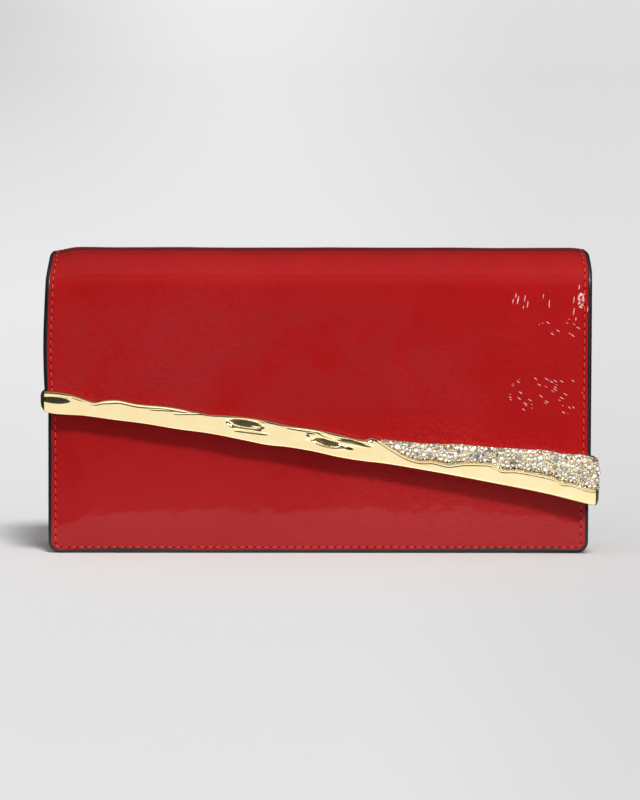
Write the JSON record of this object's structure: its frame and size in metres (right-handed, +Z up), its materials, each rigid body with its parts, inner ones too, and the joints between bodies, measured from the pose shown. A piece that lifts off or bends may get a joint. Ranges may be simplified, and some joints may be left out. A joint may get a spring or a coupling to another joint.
{
  "type": "clutch purse",
  "caption": "Upright box clutch purse with a wrap-over flap, a magnetic snap and a slanted sculpted metal bar with stones.",
  "frame": {"origin": "centre of the base, on the surface the purse stands on, midway between the foremost and rearmost points", "axes": "+X to the right seen from the front, +Y to the back, +Z up; the front with the bar faces -Y"},
  "size_m": [0.22, 0.0478, 0.12],
  "materials": {
    "patent_leather": "glossy crinkled red patent",
    "stiffener_board": "bonded fibre board",
    "lining_fabric": "black twill",
    "gold_metal": "polished gold plate",
    "snap_steel": "plated steel",
    "crystal_glass": "faceted pale champagne glass"
  },
  "bodies": {
    "body": {"front_leather": "patent_leather", "front_board": "stiffener_board", "front_lining": "lining_fabric", "back_leather": "patent_leather", "back_board": "stiffener_board", "back_lining": "lining_fabric", "gusset_leather": "patent_leather", "gusset_lining": "lining_fabric", "base_board": "stiffener_board", "slip_pocket": "lining_fabric", "slip_pocket_binding": "patent_leather", "snap_socket_cup": "gold_metal", "snap_magnet": "snap_steel", "snap_socket_plate": "snap_steel", "snap_socket_washer": "snap_steel"},
    "flap_top": {"flap_top_leather": "patent_leather", "flap_top_board": "stiffener_board", "flap_top_lining": "lining_fabric"},
    "flap_front": {"flap_leather": "patent_leather", "flap_board": "stiffener_board", "flap_lining": "lining_fabric", "snap_stud": "snap_steel", "snap_stud_washer": "snap_steel", "bar_casting": "gold_metal", "bar_screws": "gold_metal", "bar_washers": "gold_metal", "crystals": "crystal_glass"}
  },
  "joints": [
    {"name": "rear_fold", "type": "hinge", "parent": "body", "child": "flap_top", "pos_m": [0, 0.02044, 0.11649], "axis": [-1, 0, 0], "range_deg": [0, 110]},
    {"name": "front_fold", "type": "hinge", "parent": "flap_top", "child": "flap_front", "pos_m": [0, -0.01285, 0.1159], "axis": [-1, 0, 0], "range_deg": [0, 80]}
  ],
  "couplings": [
    {"joint": "front_fold", "follows": "rear_fold", "ratio": 0.7272}
  ]
}
